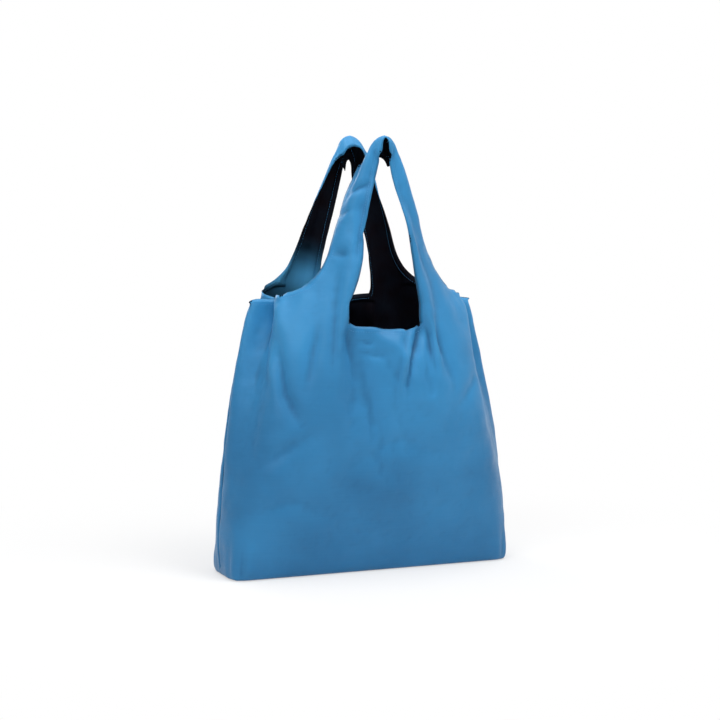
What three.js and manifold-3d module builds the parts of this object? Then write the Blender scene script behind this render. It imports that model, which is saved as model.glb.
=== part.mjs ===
// Foldable shopping bag of thin woven cloth, standing open on its boxed base.
// Two panels, sewn together down both sides and along the base, each carry a loop handle cut in one with
// the cloth. The arm openings between the handles and the neck under each handle are hemmed.
// Millimetres, +Z up, X across the bag, the front panel towards -Y, origin at the middle of the base.
import * as THREE from "three";
import { LoftGeometry } from "three/addons/geometries/LoftGeometry.js";
import { mergeVertices } from "three/addons/utils/BufferGeometryUtils.js";
import Module from "manifold-3d";

// Overall size
const TOTAL_HEIGHT = 590;
const BASE_WIDTH = 410;
const BASE_DEPTH = 100;

// Cloth
const CLOTH = 0.8; // wall of one layer
const SEAM_GAP = 0.3; // between the two panels, all along their seam
const HEM_WIDTH = 10; // cloth turned to the inside along every opening
const HEM_LAYERS = 2; // layers of cloth in a hem, the panel's own included

// Mouth, at the height of the arm openings, whose lowest points are the tops of the side seams
const ARM_HEIGHT = 367;
const ARM_WIDTH = 104;
const ARM_CORNER = 34;
const SEAM_SPAN = 334; // across the bag, between the tops of the side seams
const MOUTH_DEPTH = 154; // front to back
const BELLY = 11; // how far each panel swells at half height, past a straight fall to the base

// Neck, the opening under each handle
const FRONT_NECK_HEIGHT = 338;
const BACK_NECK_HEIGHT = 366; // the back is drawn up higher
const NECK_WIDTH = 100;
const NECK_CORNER = 24;
const NECK_SIDE = 48; // height of its upright sides, lower corners included
const NECK_TIP = 5; // radius where the two sides meet, under the handle

// Handle, where the two straps of a panel meet
const HANDLE_REST = 18; // cloth left above the neck, seen from the front
const HANDLE_BEND = 27; // radius over the top
const HANDLE_SPAN = 186; // front to back, over both handles
const STRAP_SWEEP = 1.35; // how hollow the outline is from side seam to handle, where 1 is straight

// Slack cloth falls into one pleat beside each lower corner of the arm openings
const PLEAT_DEPTH = 20;
const PLEAT_HALF_WIDTH = 17;
const PLEAT_LENGTH = 190; // how far it runs down the panel
const PLEAT_RISE = 60; // how far it runs up the strap
const PLEAT_PLACE = 0.76; // share of the way from the middle of the panel to the side seam

// Roundness of the level sections, where 2 is an ellipse and more is squarer
const BASE_SQUARENESS = 7;
const MOUTH_SQUARENESS = 2.4;

// Facets
const QUARTER_FACETS = 18;
const BODY_STEPS = 12;
const STRAP_STEPS = 9;
const TOP_STEPS = 4;
const CORNER_FACETS = 5;
const CREST = 0.9; // share of the quarter turn over the handle that is round, up to its flat crest
const PAST = 50; // how far the cutting shapes run past the cloth
const MERGE = 1e-3; // points nearer than this are one

const wasm = await Module();
wasm.setup();

// A closed geometry as a solid that can be cut and joined.
function solidOf(geometry) {
  const bare = new THREE.BufferGeometry();
  bare.setAttribute("position", geometry.getAttribute("position"));
  bare.setIndex(geometry.getIndex());
  const merged = mergeVertices(bare, MERGE);
  const vertProperties = merged.getAttribute("position").array;
  const triVerts = Uint32Array.from(merged.getIndex().array);
  return new wasm.Manifold(new wasm.Mesh({ numProp: 3, vertProperties, triVerts }));
}

// A finished solid as a geometry.
function geometryOf(solid) {
  const { numProp, vertProperties, triVerts } = solid.getMesh();
  const geometry = new THREE.BufferGeometry();
  geometry.setAttribute("position", new THREE.BufferAttribute(vertProperties, numProp));
  geometry.setIndex(new THREE.BufferAttribute(triVerts, 1));
  geometry.computeVertexNormals();
  return geometry;
}

const mix = THREE.MathUtils.lerp;
const ease = (share) => THREE.MathUtils.smoothstep(share, 0, 1);

// Level sections from the base up to the tops of the side seams.
function bodySection(share) {
  const height = share * ARM_HEIGHT;
  return {
    height,
    halfWidth: mix(BASE_WIDTH, SEAM_SPAN, share) / 2,
    halfDepth: mix(BASE_DEPTH, MOUTH_DEPTH, share) / 2 + BELLY * Math.sin(Math.PI * share),
    squareness: mix(BASE_SQUARENESS, MOUTH_SQUARENESS, ease(2 * share)),
    pleat: PLEAT_DEPTH * ease(1 - (ARM_HEIGHT - height) / PLEAT_LENGTH),
  };
}

// Level sections from there to where the straps turn over into the handle.
function strapSection(share) {
  const height = mix(ARM_HEIGHT, TOTAL_HEIGHT - HANDLE_BEND, share);
  return {
    height,
    halfWidth: mix(HANDLE_BEND, SEAM_SPAN / 2, Math.pow(1 - share, STRAP_SWEEP)),
    halfDepth: mix(MOUTH_DEPTH, HANDLE_SPAN, ease(share)) / 2,
    squareness: MOUTH_SQUARENESS,
    pleat: PLEAT_DEPTH * ease(1 - (height - ARM_HEIGHT) / PLEAT_RISE),
  };
}

// Level sections over the top of the handle, up to its crest.
function topSection(share) {
  const turn = (CREST * Math.PI) / 2;
  const rise = Math.sin(share * turn) / Math.sin(turn);
  return {
    height: TOTAL_HEIGHT + HANDLE_BEND * (rise - 1),
    halfWidth: HANDLE_BEND * Math.cos(share * turn),
    halfDepth: HANDLE_SPAN / 2,
    squareness: MOUTH_SQUARENESS,
    pleat: 0,
  };
}

// A quarter of a level section, from the middle of the panel to the side seam, in equal steps of cloth.
function quarterRing({ halfWidth, halfDepth, squareness, pleat }) {
  const trace = [];
  for (let degrees = 0; degrees <= 90; degrees++) {
    const angle = THREE.MathUtils.degToRad(degrees);
    const across = Math.pow(Math.abs(Math.sin(angle)), 2 / squareness);
    const forward = Math.pow(Math.abs(Math.cos(angle)), 2 / squareness);
    trace.push(new THREE.Vector2(halfWidth * across, halfDepth * forward));
  }
  const outline = new THREE.SplineCurve(trace);
  const step = outline.getLength() / QUARTER_FACETS;
  return outline.getSpacedPoints(QUARTER_FACETS).map((point, i) => {
    const offset = ((i - PLEAT_PLACE * QUARTER_FACETS) * step) / PLEAT_HALF_WIDTH;
    return point.setLength(point.length() - pleat * Math.exp(-offset * offset));
  });
}

// A whole level section, round the bag, moved inwards through the cloth by the inset.
function ring(section, inset) {
  const quarter = quarterRing(section);
  const front = quarter.map(({ x, y }) => new THREE.Vector2(x, -y));
  const back = quarter.slice(1, -1).reverse();
  const right = [...front, ...back];
  const left = right.map(({ x, y }) => new THREE.Vector2(-x, -y));
  const round = [...right, ...left];
  const height = THREE.MathUtils.clamp(section.height, inset, TOTAL_HEIGHT - inset);
  return round.map((point, i) => {
    const before = round.at(i - 1);
    const after = round[(i + 1) % round.length];
    const along = after.clone().sub(before).normalize();
    return new THREE.Vector3(point.x - inset * along.y, point.y + inset * along.x, height);
  });
}

// The closed form of the bag, before its openings are cut, moved inwards through the cloth by the inset.
function bagForm(inset) {
  const sections = [];
  for (let i = 0; i <= BODY_STEPS; i++) sections.push(bodySection(i / BODY_STEPS));
  for (let i = 1; i <= STRAP_STEPS; i++) sections.push(strapSection(i / STRAP_STEPS));
  for (let i = 1; i <= TOP_STEPS; i++) sections.push(topSection(i / TOP_STEPS));
  const rings = sections.map((section) => ring(section, inset));
  return solidOf(new LoftGeometry(rings, { capStart: true, capEnd: true }));
}

// A cutting shape: an outline of X and Z, run along Y.
function extrude(outline, length) {
  const geometry = new THREE.ExtrudeGeometry(outline, {
    depth: length,
    bevelEnabled: false,
    curveSegments: CORNER_FACETS,
  });
  return geometry.translate(0, 0, -length / 2).rotateX(Math.PI / 2);
}

// The neck opening, grown on all sides: upright sides on round corners, then straight in to the tip.
function neckCutter(neckHeight, growth) {
  const half = NECK_WIDTH / 2 + growth;
  const low = neckHeight - growth;
  const corner = NECK_CORNER + growth;
  const shoulder = neckHeight + NECK_SIDE;
  const tip = NECK_TIP + growth;
  const tipHeight = TOTAL_HEIGHT - HANDLE_REST - NECK_TIP;
  const lean = Math.atan2(half - tip, tipHeight - shoulder);
  const outline = new THREE.Shape();
  outline.absarc(half - corner, low + corner, corner, -Math.PI / 2, 0);
  outline.lineTo(half, shoulder);
  outline.absarc(0, tipHeight, tip, lean, Math.PI - lean);
  outline.lineTo(-half, shoulder);
  outline.absarc(corner - half, low + corner, corner, Math.PI, 1.5 * Math.PI);
  return solidOf(extrude(outline, HANDLE_SPAN + 2 * PAST));
}

// The arm openings, grown on all sides: one straight cut on round corners, from side to side.
function armCutter(growth) {
  const half = ARM_WIDTH / 2 + growth;
  const low = ARM_HEIGHT - growth;
  const corner = ARM_CORNER + growth;
  const high = TOTAL_HEIGHT + PAST;
  const outline = new THREE.Shape();
  outline.absarc(half - corner, low + corner, corner, -Math.PI / 2, 0);
  outline.lineTo(half, high);
  outline.lineTo(-half, high);
  outline.absarc(corner - half, low + corner, corner, Math.PI, 1.5 * Math.PI);
  return solidOf(extrude(outline, BASE_WIDTH + 2 * PAST).rotateZ(Math.PI / 2));
}

// Everything on the front panel's side of the seam.
function frontSide() {
  const depth = HANDLE_SPAN;
  const box = new THREE.BoxGeometry(BASE_WIDTH + 2 * PAST, depth, TOTAL_HEIGHT + 2 * PAST);
  return solidOf(box.translate(0, -(depth + SEAM_GAP) / 2, TOTAL_HEIGHT / 2));
}

// One panel: a layer of cloth over half the bag, with its openings cut out and hemmed on the inside.
function panelGeometry(neckHeight) {
  const layer = bagForm(0).subtract(bagForm(CLOTH));
  const turnedIn = bagForm(CLOTH / 2).subtract(bagForm(HEM_LAYERS * CLOTH));
  const hem = turnedIn.intersect(neckCutter(neckHeight, HEM_WIDTH).add(armCutter(HEM_WIDTH)));
  const openings = neckCutter(neckHeight, 0).add(armCutter(0));
  return geometryOf(layer.add(hem).intersect(frontSide()).subtract(openings));
}

const bag = new THREE.Group();
bag.name = "foldable_shopping_bag";
const panels = [
  { name: "front_panel", neckHeight: FRONT_NECK_HEIGHT, turn: 0 },
  { name: "back_panel", neckHeight: BACK_NECK_HEIGHT, turn: Math.PI },
];
for (const { name, neckHeight, turn } of panels) {
  const cloth = new THREE.MeshStandardMaterial({ color: 0x3a86bd, roughness: 0.55, metalness: 0 });
  const mesh = new THREE.Mesh(panelGeometry(neckHeight), cloth);
  mesh.name = name;
  mesh.rotation.z = turn;
  bag.add(mesh);
}

export default bag;
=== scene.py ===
"""Looks of the foldable shopping bag: two panels of thin cloth, cut flat, sewn together and draped."""
import math

import bpy
import numpy as np
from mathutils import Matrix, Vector, noise
from mathutils.bvhtree import BVHTree
from mathutils.interpolate import poly_3d_calc


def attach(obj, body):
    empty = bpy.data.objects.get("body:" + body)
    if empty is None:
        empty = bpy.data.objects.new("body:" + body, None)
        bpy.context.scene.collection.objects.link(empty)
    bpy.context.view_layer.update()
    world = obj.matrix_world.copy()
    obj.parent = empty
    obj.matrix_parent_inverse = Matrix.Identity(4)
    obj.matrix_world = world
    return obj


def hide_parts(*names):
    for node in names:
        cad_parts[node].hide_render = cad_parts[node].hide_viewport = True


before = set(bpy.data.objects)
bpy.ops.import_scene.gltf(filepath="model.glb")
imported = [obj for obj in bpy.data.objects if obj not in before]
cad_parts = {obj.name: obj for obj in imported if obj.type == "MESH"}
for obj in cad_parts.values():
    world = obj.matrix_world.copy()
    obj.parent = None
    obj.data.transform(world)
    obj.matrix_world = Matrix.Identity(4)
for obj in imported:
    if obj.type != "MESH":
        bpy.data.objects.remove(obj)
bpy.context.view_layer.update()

TINY = 1e-6  # to divide by in place of nothing
FRONT, BACK = 0, 1
PANELS = ("front_panel", "back_panel")

# Flat cut of a panel, in metres: s runs across from its middle, h up from the front edge of the base
BASE_WIDTH = 0.410
BASE_DEPTH = 0.100
BASE_CORNER = 0.022  # radius of the base's corners, once draped
SEAM_PLACE = (BASE_WIDTH + BASE_DEPTH) / 2  # of the side seam, from the middle
SEAM_HEIGHT = 0.372
ARM_HEIGHT = 0.394  # of the arm opening's corner, beside the strap
ARM_CORNER = 0.060
NECK_HEIGHTS = (0.341, 0.381)  # of the front and the back
NECK_CORNER = 0.009
STRAP_INNER = 0.054
STRAP_OUTER = 0.106
STRAP_TOP = 0.610
STITCH_LINE = 0.0072  # from the edge of a hem
ARC_POINTS = 20  # on each round corner of a cut

# The cloth as a lattice of cells: columns from the middle, rows from the front edge of the base
BASE_CELLS = 48
SIDE_CELLS = 6
SEAM_ROW = 44
NECK_ROW = 41
INNER_COLUMN = 7
OUTER_COLUMN = 13
TOP_ROW = 74
CORNER_COLUMN = BASE_CELLS // 2
SEAM_COLUMN = CORNER_COLUMN + SIDE_CELLS
CELL = BASE_WIDTH / BASE_CELLS
EVENING_ROUNDS = 600  # until the lattice is even between the cut edges

# The box that the bag starts as: its upright corners are sharp at the base and soon round
BOX_CORNER = 0.045
BOX_CORNER_RISE = 0.3  # radius gained to the height

# Where the draped bag is held. Each hold: column, row, across, out from the middle plane, height, strength
FIRM = 1.0
SOFT = 0.5
WEAK = 0.2
EAR = (0.166, 0.367)  # the top of each side seam: across, height
# On both sides of both panels
HELD_ON_BOTH = (
    (24, 44, 0.122, 0.003, 0.371, FIRM),
    (24, 6, 0.217, 0.055, 0.050, WEAK),
    (30, 4, 0.218, 0.000, 0.034, SOFT),
    (30, 8, 0.217, 0.000, 0.068, SOFT),
    (30, 12, 0.212, 0.000, 0.102, SOFT),
    (30, 22, 0.204, 0.000, 0.188, SOFT),
    (30, 33, 0.187, 0.000, 0.282, SOFT),
    (30, 38, 0.180, 0.000, 0.325, WEAK),
    (30, 42, 0.171, 0.000, 0.352, SOFT),
)
# On both sides of the front panel, and of the back
HELD_ON_ONE = (
    (
        (0, 41, 0.000, 0.087, 0.332, SOFT),
        (7, 55, 0.034, 0.087, 0.454, SOFT),
        (16, 44, 0.114, 0.042, 0.384, SOFT),
        (14, 44, 0.104, 0.046, 0.392, SOFT),
        (13, 47, 0.084, 0.050, 0.420, SOFT),
        (13, 51, 0.072, 0.050, 0.445, SOFT),
        (13, 55, 0.061, 0.050, 0.470, SOFT),
        (7, 61, 0.020, 0.088, 0.498, SOFT),
        (13, 62, 0.046, 0.051, 0.514, SOFT),
        (7, 66, 0.011, 0.079, 0.531, SOFT),
        (7, 70, 0.005, 0.081, 0.557, SOFT),
    ),
    (
        (0, 41, 0.000, 0.058, 0.368, SOFT),
        (7, 41, 0.036, 0.060, 0.376, SOFT),
        (7, 44, 0.037, 0.060, 0.396, SOFT),
        (7, 49, 0.036, 0.059, 0.427, SOFT),
        (7, 53, 0.029, 0.058, 0.453, SOFT),
        (16, 44, 0.122, 0.052, 0.390, SOFT),
        (14, 44, 0.110, 0.057, 0.398, SOFT),
        (13, 48, 0.086, 0.057, 0.428, SOFT),
        (13, 55, 0.063, 0.056, 0.472, SOFT),
        (7, 60, 0.013, 0.058, 0.498, SOFT),
        (13, 63, 0.042, 0.057, 0.514, SOFT),
    ),
)
# On one side of the front panel, and of the back, where they differ from left to right
HELD_ASKEW = (
    (
        (-7, 44, -0.056, 0.086, 0.372, SOFT),
        (-7, 41, -0.056, 0.083, 0.346, SOFT),
        (-4, 41, -0.032, 0.086, 0.336, SOFT),
        (4, 41, 0.026, 0.086, 0.329, SOFT),
        (7, 41, 0.046, 0.084, 0.332, SOFT),
        (7, 44, 0.050, 0.086, 0.360, SOFT),
        (24, 12, 0.215, 0.052, 0.098, WEAK),
    ),
    (
        (24, 12, 0.180, 0.048, 0.098, SOFT),
        (24, 16, 0.180, 0.050, 0.132, WEAK),
    ),
)
# How far each panel leans to the right at some heights
SWAY_HEIGHTS = (0.0, 0.045, 0.09, 0.19, 0.29, 0.44, 0.51, 0.60)
SWAYS = (
    (0.0, 0.0, 0.014, 0.008, -0.002, 0.0, -0.004, 0.0),
    (0.0, 0.0, 0.014, 0.008, -0.002, 0.0, 0.0, 0.0),
)

# The bend over the top of each handle, at the neck edge, between and at the arm edge of its strap:
# out from the middle plane, height, radius and lean of the strap below it
HANDLE_ROWS = 4  # of each strap that lie on the bend
HANDLE_STEP = 0.0075  # along the strap, from row to row
HANDLES = (
    ((0.082, 0.586, 0.004, 0.05), (0.072, 0.596, 0.034, 0.30), (0.056, 0.560, 0.012, 0.30)),
    ((0.060, 0.562, 0.003, 0.12), (0.064, 0.618, 0.026, 0.30), (0.038, 0.578, 0.016, 0.30)),
)
HANDLE_SHIFT = (0.000, 0.004)  # of each handle's top to the right


def resample(points, count):
    """count + 1 points at equal steps along a polyline."""
    points = np.array(points)
    along = np.concatenate([[0], np.cumsum(np.linalg.norm(np.diff(points, axis=0), axis=1))])
    at = np.linspace(0, along[-1], count + 1)
    return np.stack([np.interp(at, along, points[:, k]) for k in range(2)], axis=1)


def arm_edge():
    """The right arm opening's cut, from the side seam up to the top of the strap."""
    seam = np.array([SEAM_PLACE, SEAM_HEIGHT])
    corner = np.array([STRAP_OUTER, ARM_HEIGHT])
    top = np.array([STRAP_OUTER, STRAP_TOP])
    before = corner + (seam - corner) * ARM_CORNER / np.linalg.norm(seam - corner)
    after = corner + (top - corner) * ARM_CORNER / np.linalg.norm(top - corner)
    shares = np.linspace(0, 1, ARC_POINTS)
    curve = [(1 - t) ** 2 * before + 2 * t * (1 - t) * corner + t**2 * after for t in shares]
    return [seam, *curve, top]


def neck_edge(panel):
    """The right half of the neck's cut, from its lowest point up to the top of the strap."""
    turns = np.linspace(0, math.pi / 2, ARC_POINTS)
    middle = STRAP_INNER - NECK_CORNER
    low = NECK_HEIGHTS[panel]
    curve = [(middle + NECK_CORNER * math.sin(t), low + NECK_CORNER * (1 - math.cos(t))) for t in turns]
    return [(0, low), *curve, (STRAP_INNER, STRAP_TOP)]


def panel_cells():
    """Every cell of a panel as its lower left corner, base included."""
    for r in range(-SIDE_CELLS, 0):
        for c in range(-CORNER_COLUMN, CORNER_COLUMN):
            yield c, r
    for r in range(SEAM_ROW):
        for c in range(-SEAM_COLUMN, SEAM_COLUMN):
            if r < NECK_ROW or not -INNER_COLUMN <= c < INNER_COLUMN:
                yield c, r
    for r in range(SEAM_ROW, TOP_ROW):
        for c in (*range(INNER_COLUMN, OUTER_COLUMN), *range(-OUTER_COLUMN, -INNER_COLUMN)):
            yield c, r


def cell_ring(c, r):
    """The four corners of a cell, anticlockwise from outside the bag."""
    return [(c, r), (c + 1, r), (c + 1, r + 1), (c, r + 1)]


def right_arm_keys():
    """Corners along the right arm opening's edge, from the ear to the top of the handle."""
    keys = [(c, SEAM_ROW) for c in range(SEAM_COLUMN, OUTER_COLUMN, -1)]
    return keys + [(OUTER_COLUMN, r) for r in range(SEAM_ROW, TOP_ROW + 1)]


def right_neck_keys():
    """Corners along the right half of the neck's edge, from its foot to the top of the handle."""
    keys = [(c, NECK_ROW) for c in range(INNER_COLUMN)]
    return keys + [(INNER_COLUMN, r) for r in range(NECK_ROW, TOP_ROW + 1)]


def arm_path():
    """Corners along both arm openings' edges, from the left ear over the handle to the right ear."""
    right = right_arm_keys()
    return [(-c, r) for c, r in right] + right[-2::-1]


def neck_path():
    """Corners round the neck's edge, from the middle of its foot up the right strap and down the left."""
    right = right_neck_keys()
    return right + [(-c, r) for c, r in right[-2:0:-1]]


def flat_pattern(panel):
    """Where each cell corner of a panel lies on the flat cut: even, between its cut edges."""
    fixed = {(c, 0): (c * CELL, 0) for c in range(-SEAM_COLUMN, SEAM_COLUMN + 1)}
    for r in range(SEAM_ROW + 1):
        h = r / SEAM_ROW * SEAM_HEIGHT
        fixed[SEAM_COLUMN, r] = (SEAM_PLACE, h)
        fixed[-SEAM_COLUMN, r] = (-SEAM_PLACE, h)
    for keys, line in ((right_arm_keys(), arm_edge()), (right_neck_keys(), neck_edge(panel))):
        for (c, r), (s, h) in zip(keys, resample(line, len(keys) - 1)):
            fixed[c, r] = (s, h)
            fixed[-c, r] = (-s, h)
    for c in range(INNER_COLUMN, OUTER_COLUMN + 1):
        share = (c - INNER_COLUMN) / (OUTER_COLUMN - INNER_COLUMN)
        s = STRAP_INNER + share * (STRAP_OUTER - STRAP_INNER)
        fixed[c, TOP_ROW] = (s, STRAP_TOP)
        fixed[-c, TOP_ROW] = (-s, STRAP_TOP)
    neighbours = {}
    for c, r in panel_cells():
        if r >= 0:
            ring = cell_ring(c, r)
            for a, b in zip(ring, ring[1:] + ring[:1]):
                neighbours.setdefault(a, set()).add(b)
                neighbours.setdefault(b, set()).add(a)
    keys = sorted(neighbours)
    place = {k: i for i, k in enumerate(keys)}
    at = np.array([fixed.get(k, (k[0] * CELL, k[1] * SEAM_HEIGHT / SEAM_ROW)) for k in keys], float)
    free = [place[k] for k in keys if k not in fixed]
    around = np.array([[place[n] for n in sorted(neighbours[keys[i]])] for i in free])
    for _ in range(EVENING_ROUNDS):
        at[free] = at[around].mean(axis=1)
    return {k: tuple(at[i]) for i, k in enumerate(keys)}


FLAT = [flat_pattern(panel) for panel in (FRONT, BACK)]


def cell_area(panel, c, r):
    """Area of a cell on the flat cut."""
    if r < 0:
        return CELL * CELL
    (ax, ay), (bx, by), (cx, cy), (dx, dy) = (FLAT[panel][k] for k in cell_ring(c, r))
    return ((cx - ax) * (dy - by) - (dx - bx) * (cy - ay)) / 2


def corner_key(c, r):
    """A cell corner's own key: the base's short ends are sewn to the foot of the side."""
    if r < 0 and abs(c) == CORNER_COLUMN:
        return (c - r if c > 0 else c + r), 0
    return c, r


def box_place(panel, c, r):
    """Where a cell corner starts, seen as on the front: the bag as an open box with upright straps."""
    if r < 0:
        return (c * CELL, -BASE_DEPTH / 2 - r * CELL, 0.0)
    s, h = FLAT[panel][c, r]
    radius = max(min(BOX_CORNER, BOX_CORNER_RISE * h), TINY)
    half_depth = BASE_DEPTH / 2 + (2 - math.pi / 2) * radius
    straight = BASE_WIDTH / 2 - radius
    arc = radius * math.pi / 2
    past = abs(s) - straight
    if past <= 0:
        x, y = abs(s), -half_depth
    elif past <= arc:
        x = straight + radius * math.sin(past / radius)
        y = -half_depth + radius * (1 - math.cos(past / radius))
    else:
        x, y = BASE_WIDTH / 2, min(-half_depth + radius + past - arc, 0.0)
    if abs(c) == SEAM_COLUMN:
        y = 0.0
    return (math.copysign(x, s), y, h)


def handle_place(panel, c, r):
    """Where a corner in the top rows of a strap ends: on the bend over the top of the handle."""
    share = (abs(c) - INNER_COLUMN) / (OUTER_COLUMN - INNER_COLUMN)
    weights = ((1 - share) ** 2, 2 * share * (1 - share), share**2)
    bends = zip(*HANDLES[panel])
    out, height, radius, lean = (sum(w * p for w, p in zip(weights, bend)) for bend in bends)
    along = (TOP_ROW - r) * HANDLE_STEP
    turn = min(along / radius, math.pi / 2)
    drop = max(0, along - radius * math.pi / 2)
    across = radius * math.sin(turn) + lean * drop
    shift = HANDLE_SHIFT[panel] * (1 if panel == FRONT else -1)
    return (math.copysign(across, c) + shift, -out, height - radius * (1 - math.cos(turn)) - drop)


def base_place(x, y):
    """A place on the base as a box, moved in where the base's corners are round."""
    past_x = abs(x) - (BASE_WIDTH / 2 - BASE_CORNER)
    past_y = abs(y) - (BASE_DEPTH / 2 - BASE_CORNER)
    if min(past_x, past_y) <= 0:
        return x, y, 0.0
    inwards = 1 - max(past_x, past_y) / math.hypot(past_x, past_y)
    return x - math.copysign(inwards * past_x, x), y - math.copysign(inwards * past_y, y), 0.0


def sway(panel, z):
    """How far a panel leans across at a height, as the panel sees it."""
    lean = np.interp(z, SWAY_HEIGHTS, SWAYS[panel])
    return lean if panel == FRONT else -lean


def held_place(panel, c, r):
    """Where a corner is held in the end and how strongly, or its start and nothing."""
    start = box_place(panel, c, r)
    if r <= 0:
        return base_place(start[0], start[1]), FIRM
    if r > TOP_ROW - HANDLE_ROWS:
        return handle_place(panel, c, r), FIRM
    if (abs(c), r) == (SEAM_COLUMN, SEAM_ROW):
        return (math.copysign(EAR[0], c), 0.0, EAR[1]), FIRM
    for column, row, x, out, z, strength in HELD_ASKEW[panel]:
        if (c, r) == (column, row):
            return (x, -out, z), strength
    for column, row, x, out, z, strength in HELD_ON_BOTH + HELD_ON_ONE[panel]:
        if (abs(c), r) == (column, row):
            return (math.copysign(x, c) + sway(panel, z), -out, z), strength
    return start, 0.0


def sew_bag():
    """Both panels as one sewn lattice: start and end places, holds, and each panel's corners and cells."""
    index, start, end, hold = {}, [], [], []
    corners = ({}, {})
    cells = ([], [])

    def vertex(panel, c, r):
        """The number of a corner, which the two panels share where they are sewn together."""
        c, r = corner_key(c, r)
        key = (panel, c, r)
        if abs(c) == SEAM_COLUMN or r == -SIDE_CELLS:
            key = (FRONT, c if panel == FRONT else -c, r)
        if r == TOP_ROW:
            key = (panel, abs(c), r)
        if key not in index:
            index[key] = len(start)
            turn = 1 if panel == FRONT else -1
            x, y, z = box_place(panel, c, r)
            (end_x, end_y, end_z), strength = held_place(panel, c, r)
            start.append((x * turn, y * turn, z))
            end.append((end_x * turn, end_y * turn, end_z))
            hold.append(strength)
        corners[panel][c, r] = index[key]
        return index[key]

    for panel in (FRONT, BACK):
        for c, r in panel_cells():
            cells[panel].append([vertex(panel, *k) for k in cell_ring(c, r)])
    return start, end, hold, corners, cells


# How the cloth is let go, in frames: its holds move to their places, and then it settles
MOVE_FRAMES = 40
LAST_FRAME = 70
# The air inside: its pressure, and its share of that at some heights and at some places from the middle
PRESSURE = 38
PUFF_HEIGHTS = (0.0, 0.04, 0.34, 0.375)
HEIGHT_PUFFS = (0.0, 1.0, 1.0, 0.0)
PUFF_PLACES = (0.06, 0.17)
PLACE_PUFFS = (0.03, 1.0)


def drape(start, end, hold, cells):
    """The sewn bag after its holds have moved to their places and the cloth has settled."""
    mesh = bpy.data.meshes.new("bag")
    mesh.from_pydata(start, [], cells[FRONT] + cells[BACK])
    bag = bpy.data.objects.new("bag", mesh)
    bpy.context.collection.objects.link(bag)
    held = bag.vertex_groups.new(name="held")
    bag.shape_key_add(name="Basis")
    hung = bag.shape_key_add(name="hung")
    puffed = bag.vertex_groups.new(name="puffed")
    for i, (x, _, z) in enumerate(start):
        share = np.interp(abs(x), PUFF_PLACES, PLACE_PUFFS) * np.interp(z, PUFF_HEIGHTS, HEIGHT_PUFFS)
        puffed.add([i], float(share), "REPLACE")
    for i, strength in enumerate(hold):
        if strength:
            held.add([i], strength, "REPLACE")
            hung.data[i].co = end[i]
    for frame_number, value in ((1, 0), (MOVE_FRAMES, 1)):
        hung.value = value
        hung.keyframe_insert("value", frame=frame_number)
    cloth = bag.modifiers.new("cloth", "CLOTH")
    cloth.point_cache.frame_start = 1
    cloth.point_cache.frame_end = LAST_FRAME
    cloth.collision_settings.use_collision = False
    settings = cloth.settings
    settings.quality = 6
    settings.mass = 0.0001
    settings.air_damping = 2
    settings.tension_stiffness = settings.compression_stiffness = 15
    settings.shear_stiffness = 3
    settings.bending_stiffness = 0.02
    settings.tension_damping = settings.compression_damping = 5
    settings.shear_damping = 2
    settings.bending_damping = 0.5
    settings.vertex_group_mass = "held"
    settings.use_pressure = True
    settings.uniform_pressure_force = PRESSURE
    settings.vertex_group_pressure = "puffed"
    for frame_number in range(1, LAST_FRAME + 1):
        bpy.context.scene.frame_set(frame_number)
    settled = bag.evaluated_get(bpy.context.evaluated_depsgraph_get()).to_mesh()
    places = np.array([v.co[:] for v in settled.vertices])
    bpy.data.objects.remove(bag)
    return places


START, END, HOLD, CORNERS, CELLS = sew_bag()
DRAPED = drape(START, END, HOLD, CELLS)


# The finished cloth
CLOTH = 0.0004
HEM_STEP = 0.0010  # from the panel to the hem turned in behind it
SEAM_DEPTH = 0.0016
SEAM_NEAR = 0.0008
EDGE_POINTS = 300  # along each cut edge, to measure from
RIPPLES = 26.0  # to a metre
RIPPLE_DEPTH = 0.0011
RIPPLE_RISE = 0.05  # height at which the ripples have their whole depth
RIPPLE_SEED = 7.0  # between the panels
RIPPLE_OCTAVES = 3
# Smoothing of the upright lines over the base's corners: reach to both sides, where it fades out at
# the side seam, and the heights between which it fades in and out
ROUNDING_ROUNDS = 40
ROUNDING_REACH = 0.032
ROUNDING_FADE = 0.020
ROUNDING_HEIGHTS = (0.02, 0.07, 0.30, 0.35)
# How far cloth lies below its smoothed self in the deepest small hollow, and in the deepest fold: these
# place painted shade in hollows and folds, and a painted highlight on small ridges
HOLLOW_ROUNDS = 1
HOLLOW_LIFT = 0.0012
FOLD_ROUNDS = 40
FOLD_LIFT = 0.008
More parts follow.
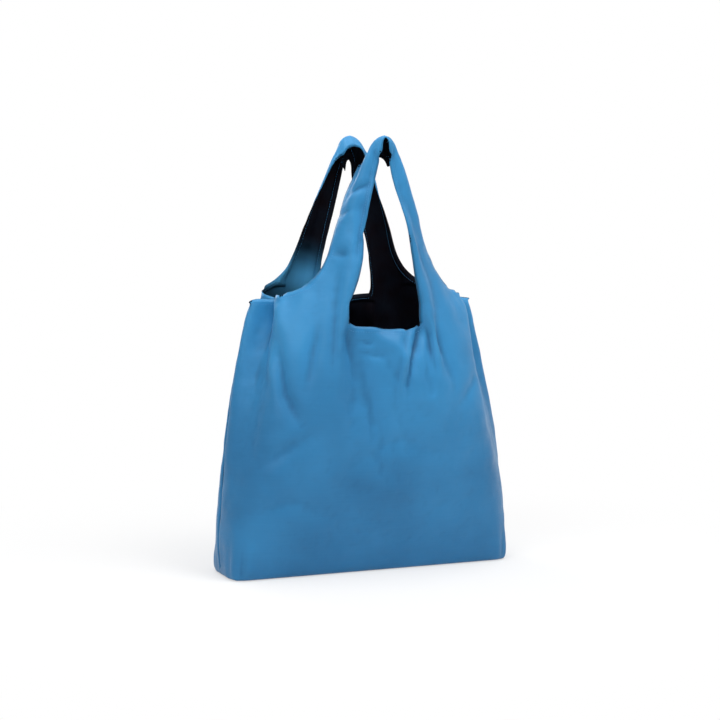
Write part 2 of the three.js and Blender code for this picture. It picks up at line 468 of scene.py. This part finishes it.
# Creases of each panel: a line on its flat cut, depth and half width. A negative depth is a ridge
CREASE_GAIN = 1.7  # on all the depths
CREASE_POINTS = 20
CREASE_ENDS = 0.1  # share of its half wave that a crease leaves out at each end
CREASES = (
    (
        ([(0.054, 0.345), (0.047, 0.323), (0.034, 0.296), (0.024, 0.264)], 0.0042, 0.006),
        ([(0.032, 0.315), (0.024, 0.289), (0.016, 0.253)], -0.0028, 0.006),
        ([(0.063, 0.342), (0.064, 0.316), (0.070, 0.281)], 0.0032, 0.006),
        ([(0.057, 0.330), (0.053, 0.305), (0.048, 0.275)], -0.0020, 0.006),
        ([(0.081, 0.348), (0.092, 0.303), (0.102, 0.257)], 0.0030, 0.009),
        ([(-0.064, 0.345), (-0.058, 0.323), (-0.052, 0.290)], 0.0010, 0.006),
        ([(-0.039, 0.323), (-0.022, 0.316)], 0.0015, 0.005),
        ([(-0.036, 0.308), (-0.012, 0.301)], 0.0015, 0.005),
        ([(-0.166, 0.319), (-0.149, 0.250), (-0.125, 0.212)], 0.0036, 0.009),
        ([(-0.184, 0.317), (-0.162, 0.250)], -0.0022, 0.009),
        ([(-0.112, 0.340), (-0.117, 0.295), (-0.119, 0.262)], 0.0028, 0.008),
        ([(-0.216, 0.288), (-0.219, 0.258)], 0.0008, 0.007),
        ([(-0.174, 0.155), (-0.113, 0.198)], 0.0018, 0.010),
        ([(0.155, 0.266), (0.117, 0.232)], 0.0020, 0.009),
        ([(-0.200, 0.083), (-0.135, 0.110), (-0.077, 0.092)], 0.0016, 0.012),
        ([(-0.068, 0.150), (0.014, 0.188), (0.077, 0.167)], 0.0016, 0.014),
        ([(-0.094, 0.518), (-0.063, 0.533)], 0.0024, 0.005),
        ([(-0.104, 0.490), (-0.080, 0.497)], 0.0014, 0.005),
        ([(-0.100, 0.440), (-0.075, 0.436)], 0.0016, 0.006),
        ([(0.066, 0.470), (0.080, 0.430), (0.092, 0.400)], 0.0016, 0.006),
    ),
    (
        ([(-0.052, 0.372), (-0.050, 0.330)], 0.0026, 0.006),
        ([(0.054, 0.372), (0.060, 0.325), (0.050, 0.280)], 0.0030, 0.007),
        ([(0.084, 0.350), (0.090, 0.300), (0.080, 0.250)], 0.0024, 0.009),
        ([(-0.090, 0.356), (-0.096, 0.300), (-0.090, 0.230)], 0.0026, 0.010),
        ([(0.170, 0.310), (0.152, 0.250), (0.130, 0.212)], 0.0030, 0.009),
        ([(0.100, 0.450), (0.072, 0.444)], 0.0014, 0.006),
        ([(-0.020, 0.345), (0.022, 0.339)], 0.0014, 0.006),
        ([(-0.150, 0.170), (-0.070, 0.140), (0.020, 0.160)], 0.0016, 0.014),
    ),
)


def line_distance(points, line):
    """How far each flat point is from a polyline, and the share of the way along where it is nearest."""
    best, share = np.full(len(points), 1.0), np.zeros(len(points))
    for i, (a, b) in enumerate(zip(line, line[1:])):
        along = np.clip(((points - a) @ (b - a)) / ((b - a) @ (b - a)), 0, 1)
        away = np.linalg.norm(points - a - along[:, None] * (b - a), axis=1)
        share = np.where(away < best, (i + along) / (len(line) - 1), share)
        best = np.minimum(best, away)
    return best, share


def vertex_normals(places, faces):
    """Unit normals of a mesh of quads."""
    quads = places[np.array(faces)]
    across = np.cross(quads[:, 2] - quads[:, 0], quads[:, 3] - quads[:, 1])
    normals = np.zeros_like(places)
    for k in range(4):
        np.add.at(normals, np.array(faces)[:, k], across)
    return normals / np.maximum(np.linalg.norm(normals, axis=1, keepdims=True), TINY**2)


def smooth(places, faces, sharp):
    """Places and faces of a mesh after one subdivision, sharp corners kept, and each edge's new vertex."""
    mesh = bpy.data.meshes.new("smooth")
    mesh.from_pydata([tuple(p) for p in places], [], faces)
    mesh.update(calc_edges=True)
    kept = mesh.attributes.new("crease_vert", "FLOAT", "POINT")
    for i in sharp:
        kept.data[i].value = 1.0
    halves = {frozenset(edge.vertices): len(places) + edge.index for edge in mesh.edges}
    obj = bpy.data.objects.new("smooth", mesh)
    bpy.context.collection.objects.link(obj)
    obj.modifiers.new("smooth", "SUBSURF").levels = 1
    done = obj.evaluated_get(bpy.context.evaluated_depsgraph_get()).to_mesh()
    places = np.array([v.co[:] for v in done.vertices])
    faces = [list(p.vertices) for p in done.polygons]
    bpy.data.objects.remove(obj)
    return places, faces, halves


class Panel:
    """One finished panel: its dense mesh, with the flat place of each vertex."""

    def __init__(self, panel):
        self.panel = panel
        corners, cells = CORNERS[panel], CELLS[panel]
        used = sorted({i for cell in cells for i in cell})
        place = {v: i for i, v in enumerate(used)}
        faces = [[place[i] for i in cell] for cell in cells]
        flat = np.zeros((len(used), 3))
        for (c, r), v in corners.items():
            s, h = FLAT[panel][c, r] if r >= 0 else (c * CELL, r * CELL)
            flat[place[v]] = (s, h, 0)
        sharp = [place[corners[c, NECK_ROW]] for c in (-INNER_COLUMN, INNER_COLUMN)]
        self.places, self.faces, halves = smooth(DRAPED[used], faces, sharp)
        self.flat, _, _ = smooth(flat, faces, sharp)
        self.cloth_faces = len(self.faces)
        self.soften_corners()
        self.sink_seams()
        self.normals = vertex_normals(self.places, self.faces)
        self.crumple()
        self.normals = vertex_normals(self.places, self.faces)
        self.edge = self.edge_distance()
        # Masks for painted shade in small hollows and deep folds, and for a painted highlight on small
        # ridges
        self.hollow = self.hollowness(HOLLOW_ROUNDS, HOLLOW_LIFT)
        self.fold = self.hollowness(FOLD_ROUNDS, FOLD_LIFT) * (self.flat[:, 1] < ARM_HEIGHT)
        self.tree = BVHTree.FromPolygons([Vector(p) for p in self.flat], self.faces)
        rim = set()
        for keys in (arm_path(), neck_path() + neck_path()[:1]):
            path = [place[corners[k]] for k in keys]
            rim.update(path)
            rim.update(halves[frozenset(pair)] for pair in zip(path, path[1:]))
        hemmed = [k for k, cell in enumerate(faces) if rim.intersection(cell)]
        self.turn_hems(rim, hemmed)
        areas = [cell_area(panel, c, r) for c, r in panel_cells()]
        self.area = sum(areas) + sum(areas[k] for k in hemmed)

    def turn_hems(self, rim, cells):
        """Adds a second layer, turned in along the openings, behind the cells that touch them."""
        turned = [face for k in cells for face in self.faces[4 * k : 4 * k + 4]]
        behind = sorted({i for face in turned for i in face} - rim)
        copy = {v: len(self.places) + i for i, v in enumerate(behind)}
        self.places = np.concatenate([self.places, self.places[behind] - HEM_STEP * self.normals[behind]])
        self.flat = np.concatenate([self.flat, self.flat[behind]])
        self.edge = np.concatenate([self.edge, self.edge[behind]])
        self.hollow = np.concatenate([self.hollow, -self.hollow[behind]])
        self.fold = np.concatenate([self.fold, self.fold[behind]])
        self.faces = self.faces + [[copy.get(i, i) for i in reversed(face)] for face in turned]

    def soften_corners(self):
        """Rounds off the upright lines that the drape leaves over the corners of the base."""
        across, height = np.abs(self.flat[:, 0]), self.flat[:, 1]
        near = np.exp(-(((across - BASE_WIDTH / 2) / ROUNDING_REACH) ** 2))
        near *= np.clip((SEAM_PLACE - across) / ROUNDING_FADE, 0, 1)
        near *= np.interp(height, ROUNDING_HEIGHTS, (0, 1, 1, 0))
        self.places += near[:, None] * (self.smoothed(ROUNDING_ROUNDS) - self.places)

    def sink_seams(self):
        """Draws the side seams in a little, as their thread does."""
        away = np.abs(self.flat[:, 0]) - SEAM_PLACE
        on_seam = (np.abs(away) < SEAM_NEAR) & (self.flat[:, 1] > CELL)
        self.places[on_seam, 0] -= SEAM_DEPTH * np.sign(self.places[on_seam, 0])

    def crumple(self):
        """Adds the small creases that the drape is too coarse for."""
        depth = np.zeros(len(self.places))
        for line, deep, half_width in CREASES[self.panel]:
            away, share = line_distance(self.flat[:, :2], resample(line, CREASE_POINTS))
            taper = np.sin(np.pi * (CREASE_ENDS + (1 - 2 * CREASE_ENDS) * share))
            depth += CREASE_GAIN * deep * taper * np.exp(-((away / half_width) ** 2))
        for i, (s, h, _) in enumerate(self.flat):
            where = Vector((s * RIPPLES, h * RIPPLES, RIPPLE_SEED * self.panel))
            ripple = noise.fractal(where, 1.0, 2.0, RIPPLE_OCTAVES)
            depth[i] += RIPPLE_DEPTH * ripple * min(max(h, 0.0) / RIPPLE_RISE, 1.0)
        self.places -= depth[:, None] * self.normals

    def edge_distance(self):
        """How far each vertex is from the nearest opening, on the flat cut."""
        flat = np.stack([np.abs(self.flat[:, 0]), self.flat[:, 1]], axis=1)
        lines = [resample(line, EDGE_POINTS) for line in (arm_edge(), neck_edge(self.panel))]
        return np.minimum(*[line_distance(flat, line)[0] for line in lines])

    def smoothed(self, rounds):
        """Where the vertices would be after rounds of moving each to the middle of its neighbours."""
        faces = np.array(self.faces).T
        near = [(faces[k], faces[(k + step) % 4]) for k in range(4) for step in (1, 3)]
        here, there = (np.concatenate(ends) for ends in zip(*near))
        places = self.places
        count = np.bincount(here, minlength=len(places))
        for _ in range(rounds):
            around = [np.bincount(here, weights=places[there, k], minlength=len(places)) for k in range(3)]
            places = np.stack(around, axis=1) / count[:, None]
        return places

    def hollowness(self, rounds, lift):
        """How hollow the cloth is at each vertex: 1 in a deep valley, -1 on a sharp ridge."""
        depth = ((self.smoothed(rounds) - self.places) * self.normals).sum(axis=1)
        return np.clip(depth / lift, -1, 1)

    def point(self, s, h):
        """The place and normal of a point of the flat cut on the draped panel, if it is on the cloth."""
        _, _, face, _ = self.tree.ray_cast(Vector((s, h, 1)), Vector((0, 0, -1)))
        if face is None:
            return None
        ring = self.faces[face]
        shares = np.array(poly_3d_calc([Vector(self.flat[i]) for i in ring], Vector((s, h, 0))))
        normal = shares @ self.normals[ring]
        return shares @ self.places[ring], normal / np.linalg.norm(normal)


# Materials
CLOTH_BLUE = (0.034, 0.248, 0.520, 1)
# Lighter dye, wear on cut edges, and a painted highlight on small ridges
PALE_DYE_WEAR_AND_HIGHLIGHT_BLUE = (0.072, 0.325, 0.610, 1)
# Darker dye, with painted shade on the lower part and in small hollows
DEEP_DYE_AND_SHADE_BLUE = (0.014, 0.125, 0.290, 1)
# Painted shade, near-black, in deep folds
FOLD_SHADE_BLUE = (0.005, 0.024, 0.060, 1)
# Painted shade: the inside of the cloth near-black
INSIDE_SHADE_BLACK = (0.0030, 0.0016, 0.0034, 1)
# Painted light: the blue of a pool of light inside the back panel
INSIDE_PAINTED_LIGHT_BLUE = (0.085, 0.380, 0.700, 1)
THREAD_BLUE = (0.070, 0.300, 0.560, 1)
WEAVE_PITCH = 0.0012
WEAVE_DEPTH = 0.00012
CRUMPLE_SCALE = 34.0
CRUMPLE_DEPTH = 0.004
GLOSS_SCALE = 60.0
DYE_SCALE = 7.0
DYE_SEED = 3.0
STREAK_SCALES = (14.0, 420.0, 1.0)  # along the weft and across it
WORN_SCALE = 160.0
WORN_REACH = 0.0022  # from a cut edge
PUCKER_SCALE = 190.0
PUCKER_DEPTH = 0.0012
PUCKER_REACH = (0.003, 0.013)  # from a cut edge: where the puckers of a hem are whole, and gone
LOW_SHADE_HEIGHTS = (0.14, 0.32)  # on the flat cut: below, painted shade darkens the cloth
MOTTLE_SCALE = 30.0
TWIST_SCALE = 2400.0


class Shades:
    """A material under construction: a shader and short ways to add nodes before it."""

    def __init__(self, name):
        self.material = bpy.data.materials.new(name)
        self.material.use_nodes = True
        self.tree = self.material.node_tree
        self.shader = self.tree.nodes["Principled BSDF"]

    def put(self, socket, value):
        """Links an output to a socket, or sets a constant on it."""
        if isinstance(value, bpy.types.NodeSocket):
            self.tree.links.new(value, socket)
        else:
            socket.default_value = value

    def set(self, **values):
        """Sets or links inputs of the shader, by their names with underscores."""
        for name, value in values.items():
            self.put(self.shader.inputs[name.replace("_", " ")], value)

    def math(self, operation, *values):
        node = self.tree.nodes.new("ShaderNodeMath")
        node.operation = operation
        for socket, value in zip(node.inputs, values):
            self.put(socket, value)
        return node.outputs[0]

    def attribute(self, name, output="Fac"):
        node = self.tree.nodes.new("ShaderNodeAttribute")
        node.attribute_name = name
        return node.outputs[output]

    def stretch(self, vector, scales):
        node = self.tree.nodes.new("ShaderNodeVectorMath")
        node.operation = "MULTIPLY"
        self.put(node.inputs[0], vector)
        node.inputs[1].default_value = scales
        return node.outputs[0]

    def noise(self, vector, scale, detail, seed=0.0):
        node = self.tree.nodes.new("ShaderNodeTexNoise")
        node.noise_dimensions = "4D"
        node.inputs["W"].default_value = seed
        self.put(node.inputs["Vector"], vector)
        node.inputs["Scale"].default_value = scale
        node.inputs["Detail"].default_value = detail
        return node.outputs["Fac"]

    def ramp(self, value, low, high, to_low, to_high):
        node = self.tree.nodes.new("ShaderNodeMapRange")
        for name, number in (("From Min", low), ("From Max", high), ("To Min", to_low), ("To Max", to_high)):
            node.inputs[name].default_value = number
        self.put(node.inputs["Value"], value)
        return node.outputs["Result"]

    def mix(self, factor, a, b):
        node = self.tree.nodes.new("ShaderNodeMix")
        node.data_type = "RGBA"
        self.put(node.inputs["Factor"], factor)
        self.put(node.inputs[6], a)
        self.put(node.inputs[7], b)
        return node.outputs[2]

    def bump(self, height, distance, strength, normal=None):
        node = self.tree.nodes.new("ShaderNodeBump")
        self.put(node.inputs["Height"], height)
        node.inputs["Distance"].default_value = distance
        node.inputs["Strength"].default_value = strength
        if normal:
            self.put(node.inputs["Normal"], normal)
        return node.outputs[0]

    def weave(self, flat):
        """Height of a plain weave on the flat cut."""
        split = self.tree.nodes.new("ShaderNodeSeparateXYZ")
        self.put(split.inputs[0], flat)
        turn = 2 * math.pi / WEAVE_PITCH
        waves = [self.math("SINE", self.math("MULTIPLY", split.outputs[k], turn)) for k in range(2)]
        return self.math("MULTIPLY", *waves)

    def gloss(self, flat, low, high):
        """Roughness that wanders between two values."""
        return self.ramp(self.noise(flat, GLOSS_SCALE, 3.0), 0.3, 0.7, low, high)


def cloth_outside():
    """Blue satin cloth: uneven dye, weft streaks, crumples, weave, lighter on worn edges; painted shade on
    its lower part, in small hollows and near-black in deep folds, and small ridges lighter, partly worn and
    partly a painted highlight.
    """
    made = Shades("cloth")
    flat = made.attribute("flat", "Vector")
    dye = made.ramp(made.noise(flat, DYE_SCALE, 3.0, DYE_SEED), 0.35, 0.65, -0.34, 0.16)
    streaks = made.noise(made.stretch(flat, STREAK_SCALES), 1.0, 2.0)
    tone_and_shade = made.math("ADD", dye, made.ramp(streaks, 0.3, 0.7, -0.03, 0.03))
    # Painted shade: darker towards the bottom of each panel
    split = made.tree.nodes.new("ShaderNodeSeparateXYZ")
    made.put(split.inputs[0], flat)
    tone_and_shade = made.math("ADD", tone_and_shade, made.ramp(split.outputs[1], *LOW_SHADE_HEIGHTS, -0.42, 0.02))
    # Painted shade in small hollows
    hollow = made.attribute("hollow")
    tone_and_shade = made.math("SUBTRACT", tone_and_shade, made.ramp(hollow, 0.0, 1.0, 0.0, 0.9))
    worn = made.ramp(made.attribute("edge"), 0.0, WORN_REACH, 0.55, 0.0)
    worn = made.math("MULTIPLY", worn, made.noise(flat, WORN_SCALE, 2.0))
    # Small ridges lighter: partly wear, partly a painted highlight
    ridge = made.ramp(hollow, -1.0, -0.15, 0.30, 0.0)
    paler_dye_wear_and_highlight = made.math("ADD", made.math("ADD", made.math("MAXIMUM", tone_and_shade, 0.0), worn), ridge)
    colour = made.mix(made.math("MINIMUM", paler_dye_wear_and_highlight, 1.0), CLOTH_BLUE, PALE_DYE_WEAR_AND_HIGHLIGHT_BLUE)
    # Darker dye and the painted shade, towards deep blue
    deeper_dye_and_shade = made.math("MINIMUM", made.math("MAXIMUM", made.math("MULTIPLY", tone_and_shade, -1.0), 0.0), 1.0)
    colour = made.mix(deeper_dye_and_shade, colour, DEEP_DYE_AND_SHADE_BLUE)
    # Painted shade: near-black in deep folds
    colour = made.mix(made.ramp(made.attribute("fold"), 0.22, 1.0, 0.0, 0.5), colour, FOLD_SHADE_BLUE)
    pucker = made.noise(flat, PUCKER_SCALE, 1.0)
    near = made.ramp(made.attribute("edge"), *PUCKER_REACH, 1.0, 0.0)
    normal = made.bump(made.noise(flat, CRUMPLE_SCALE, 4.0), CRUMPLE_DEPTH, 0.30)
    normal = made.bump(made.math("MULTIPLY", pucker, near), PUCKER_DEPTH, 0.5, normal)
    normal = made.bump(made.weave(flat), WEAVE_DEPTH, 0.35, normal)
    made.set(Base_Color=colour, Normal=normal, Sheen_Weight=0.05, Sheen_Roughness=0.4)
    made.set(Roughness=made.gloss(flat, 0.38, 0.52), Specular_IOR_Level=0.28)
    return made.material


def cloth_inside():
    """The back of the cloth, near-black as painted shade, with a painted pool of light inside the back
    panel.
    """
    made = Shades("cloth_inside")
    flat = made.attribute("flat", "Vector")
    mottle = made.ramp(made.noise(flat, MOTTLE_SCALE, 3.0), 0.35, 0.75, 0.0, 0.015)
    # A painted pool of light, with a small random mottle
    thin = made.math("ADD", mottle, made.attribute("thin"))
    made.set(Base_Color=made.mix(made.math("MINIMUM", thin, 1.0), INSIDE_SHADE_BLACK, INSIDE_PAINTED_LIGHT_BLUE))
    normal = made.bump(made.noise(flat, CRUMPLE_SCALE, 4.0), CRUMPLE_DEPTH, 0.25)
    made.set(Normal=made.bump(made.weave(flat), WEAVE_DEPTH, 0.3, normal))
    made.set(Roughness=made.gloss(flat, 0.60, 0.80), Specular_IOR_Level=0.04)
    return made.material


def thread_shade():
    """Sewing thread, with its twist."""
    made = Shades("thread")
    where = made.tree.nodes.new("ShaderNodeTexCoord").outputs["Object"]
    twist = made.noise(where, TWIST_SCALE, 1.0)
    made.set(Base_Color=made.mix(twist, CLOTH_BLUE, THREAD_BLUE), Normal=made.bump(twist, 0.0002, 0.5))
    made.set(Roughness=made.ramp(twist, 0.3, 0.7, 0.50, 0.70))
    return made.material


def make_object(name, places, faces, materials):
    """A smooth mesh object of the bag."""
    mesh = bpy.data.meshes.new(name)
    mesh.from_pydata([tuple(p) for p in places], [], faces)
    mesh.update()
    mesh.polygons.foreach_set("use_smooth", [True] * len(mesh.polygons))
    for material in materials:
        mesh.materials.append(material)
    obj = bpy.data.objects.new(name, mesh)
    bpy.context.collection.objects.link(obj)
    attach(obj, "root")
    return obj


# Stitches, each as long as some of the steps in its pitch
STITCH_PITCH = 0.0036
STITCH_STEPS = 4
STITCH_LENGTH = 3  # steps
STITCH_HALF_WIDTH = 0.00035
STITCH_LINE_POINTS = 400


def stitch_lines(panel):
    """The flat lines of stitching, along the right and left of both kinds of opening."""
    for line, turn in ((arm_edge(), 1), (neck_edge(panel), -1)):
        line = resample(line, STITCH_LINE_POINTS)
        ahead = np.gradient(line, axis=0)
        ahead /= np.linalg.norm(ahead, axis=1, keepdims=True)
        inwards = turn * np.stack([-ahead[:, 1], ahead[:, 0]], axis=1)
        line = line + STITCH_LINE * inwards
        yield line
        yield line * (-1, 1)


def stitches(panel):
    """Places and faces of every stitch on both faces of a panel's hems."""
    places, faces = [], []
    for line in stitch_lines(panel.panel):
        length = np.linalg.norm(np.diff(line, axis=0), axis=1).sum()
        count = int(length / STITCH_PITCH)
        points = resample(line, STITCH_STEPS * count)
        for first_step in range(0, STITCH_STEPS * count, STITCH_STEPS):
            ends = points[first_step], points[first_step + STITCH_LENGTH]
            found = [panel.point(*end) for end in ends]
            if None in found:
                continue
            (a, normal), (b, _) = found
            side = np.cross(b - a, normal)
            side *= STITCH_HALF_WIDTH / np.linalg.norm(side)
            for lift in (0.0, -HEM_STEP):
                first = len(places)
                rise = normal * lift
                middle = (a + b) / 2 + rise
                thick = normal * STITCH_HALF_WIDTH
                places += [a + rise, b + rise, middle + side, middle + thick, middle - side, middle - thick]
                for k in range(4):
                    faces.append([first, first + 2 + k, first + 2 + (k + 1) % 4])
                    faces.append([first + 1, first + 2 + (k + 1) % 4, first + 2 + k])
    return places, faces


def add_attribute(mesh, name, values):
    """Keeps a number or a vector for each vertex of a mesh."""
    vector = values.ndim == 2
    kept = mesh.attributes.new(name, "FLOAT_VECTOR" if vector else "FLOAT", "POINT")
    kept.data.foreach_set("vector" if vector else "value", values.ravel())


# A painted pool of light inside the back panel: its middle on the flat cut, and how far it reaches
LIGHT_PATCH_PLACE = (0.088, 0.398)
LIGHT_PATCH_REACH = (0.055, 0.026)

outside, inside, thread = cloth_outside(), cloth_inside(), thread_shade()
for number, name in enumerate(PANELS):
    panel = Panel(number)
    cloth = make_object(name + "_cloth", panel.places, panel.faces, [outside, inside])
    for polygon in cloth.data.polygons[panel.cloth_faces :]:
        polygon.material_index = 1
    # Painted light: a pool of light inside the back panel
    away = (panel.flat[:, :2] - LIGHT_PATCH_PLACE) / LIGHT_PATCH_REACH
    thin = np.exp(-(away**2).sum(axis=1)) * (number == BACK)
    # The hollow and fold masks carry painted shade and a painted highlight; the back panel's patch, painted
    # light
    kept = {"flat": panel.flat, "edge": panel.edge, "hollow": panel.hollow, "fold": panel.fold, "thin": thin}
    for kind, values in kept.items():
        add_attribute(cloth.data, kind, values)
    wall = cloth.modifiers.new("wall", "SOLIDIFY")
    wall.thickness = CLOTH
    wall.offset = -1
    wall.material_offset = 1
    thread_piece = make_object(name + "_stitches", *stitches(panel), [thread])
    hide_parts(name)


# The stage
WHITE = (1, 1, 1, 1)
AMBIENT = 0.16
FLOOR_HALF_WIDTH = 6.0
FLOOR_DROP = 0.0005
FLOOR_GREY = (0.85, 0.85, 0.85, 1)
FADE_REACH = (0.2, 0.75)  # from the bag's middle, where the floor starts and ends turning white
FADE_SHARES = (0.55, 1.0)  # of white, there


def seen_factor(tree):
    """An output that is 1 on rays from the camera, through glass or off gloss, and 0 on others."""
    path = tree.nodes.new("ShaderNodeLightPath")
    total = path.outputs["Is Camera Ray"]
    for name in ("Is Glossy Ray", "Is Transmission Ray"):
        either = tree.nodes.new("ShaderNodeMath")
        either.operation = "MAXIMUM"
        tree.links.new(total, either.inputs[0])
        tree.links.new(path.outputs[name], either.inputs[1])
        total = either.outputs[0]
    return total


def make_floor():
    """A pale floor, which the camera sees as white with the bag's shadow."""
    mesh = bpy.data.meshes.new("floor")
    half, z = FLOOR_HALF_WIDTH, -FLOOR_DROP
    corners = [(-half, -half, z), (half, -half, z), (half, half, z), (-half, half, z)]
    mesh.from_pydata(corners, [], [(0, 1, 2, 3)])
    floor = bpy.data.objects.new("floor", mesh)
    bpy.context.collection.objects.link(floor)
    made = Shades("floor")
    made.set(Base_Color=FLOOR_GREY, Roughness=0.9, Specular_IOR_Level=0.0)
    nodes, links = made.tree.nodes, made.tree.links
    away = nodes.new("ShaderNodeVectorMath")
    away.operation = "LENGTH"
    links.new(nodes.new("ShaderNodeTexCoord").outputs["Object"], away.inputs[0])
    fade = made.ramp(away.outputs["Value"], *FADE_REACH, *FADE_SHARES)
    fade.node.interpolation_type = "SMOOTHSTEP"
    white = nodes.new("ShaderNodeEmission")
    mix = nodes.new("ShaderNodeMixShader")
    made.put(mix.inputs[0], made.math("MULTIPLY", seen_factor(made.tree), fade))
    links.new(made.shader.outputs[0], mix.inputs[1])
    links.new(white.outputs[0], mix.inputs[2])
    links.new(mix.outputs[0], nodes["Material Output"].inputs["Surface"])
    mesh.materials.append(made.material)


def make_world():
    """Even light from all round, behind a white background."""
    world = bpy.data.worlds.new("world")
    bpy.context.scene.world = world
    world.use_nodes = True
    tree = world.node_tree
    even = tree.nodes["Background"]
    even.inputs["Color"].default_value = WHITE
    even.inputs["Strength"].default_value = AMBIENT
    white = tree.nodes.new("ShaderNodeBackground")
    white.inputs["Color"].default_value = WHITE
    mix = tree.nodes.new("ShaderNodeMixShader")
    tree.links.new(seen_factor(tree), mix.inputs[0])
    tree.links.new(even.outputs[0], mix.inputs[1])
    tree.links.new(white.outputs[0], mix.inputs[2])
    tree.links.new(mix.outputs[0], tree.nodes["World Output"].inputs["Surface"])


def lamp(name, at, aim, size, power):
    """A square soft lamp."""
    data = bpy.data.lights.new(name, "AREA")
    data.size = size
    data.energy = power
    obj = bpy.data.objects.new(name, data)
    obj.location = at
    obj.rotation_euler = (Vector(aim) - Vector(at)).to_track_quat("-Z", "Y").to_euler()
    bpy.context.collection.objects.link(obj)


make_floor()
make_world()
# Lamps: place, aim, size and power
MIDDLE = (0, 0, 0.3)
lamp("key", (0.9, -1.4, 2.4), MIDDLE, 1.4, 34)
lamp("top", (0.0, -0.2, 2.8), MIDDLE, 1.6, 44)
lamp("left", (-1.8, -1.5, 1.9), MIDDLE, 1.2, 24)
lamp("back", (-0.6, 2.4, 1.6), MIDDLE, 1.2, 20)

# The photo's camera
AZIMUTH = math.radians(-22.4)
ELEVATION = math.radians(4.6)
DISTANCE = 2.3158
AIM = Vector((-0.0032, 0, 0.2842))
SENSOR_WIDTH = 36  # millimetres, as the lens
LENS = 84.2
camera_data = bpy.data.cameras.new("camera")
camera_data.sensor_width = SENSOR_WIDTH
camera_data.lens = LENS
camera = bpy.data.objects.new("camera", camera_data)
level = math.cos(ELEVATION)
towards = Vector((math.sin(AZIMUTH) * level, -math.cos(AZIMUTH) * level, math.sin(ELEVATION)))
camera.location = AIM + towards * DISTANCE
camera.rotation_euler = (-towards).to_track_quat("-Z", "Y").to_euler()
bpy.context.collection.objects.link(camera)
bpy.context.scene.camera = camera
bpy.context.scene.view_settings.view_transform = "Standard"
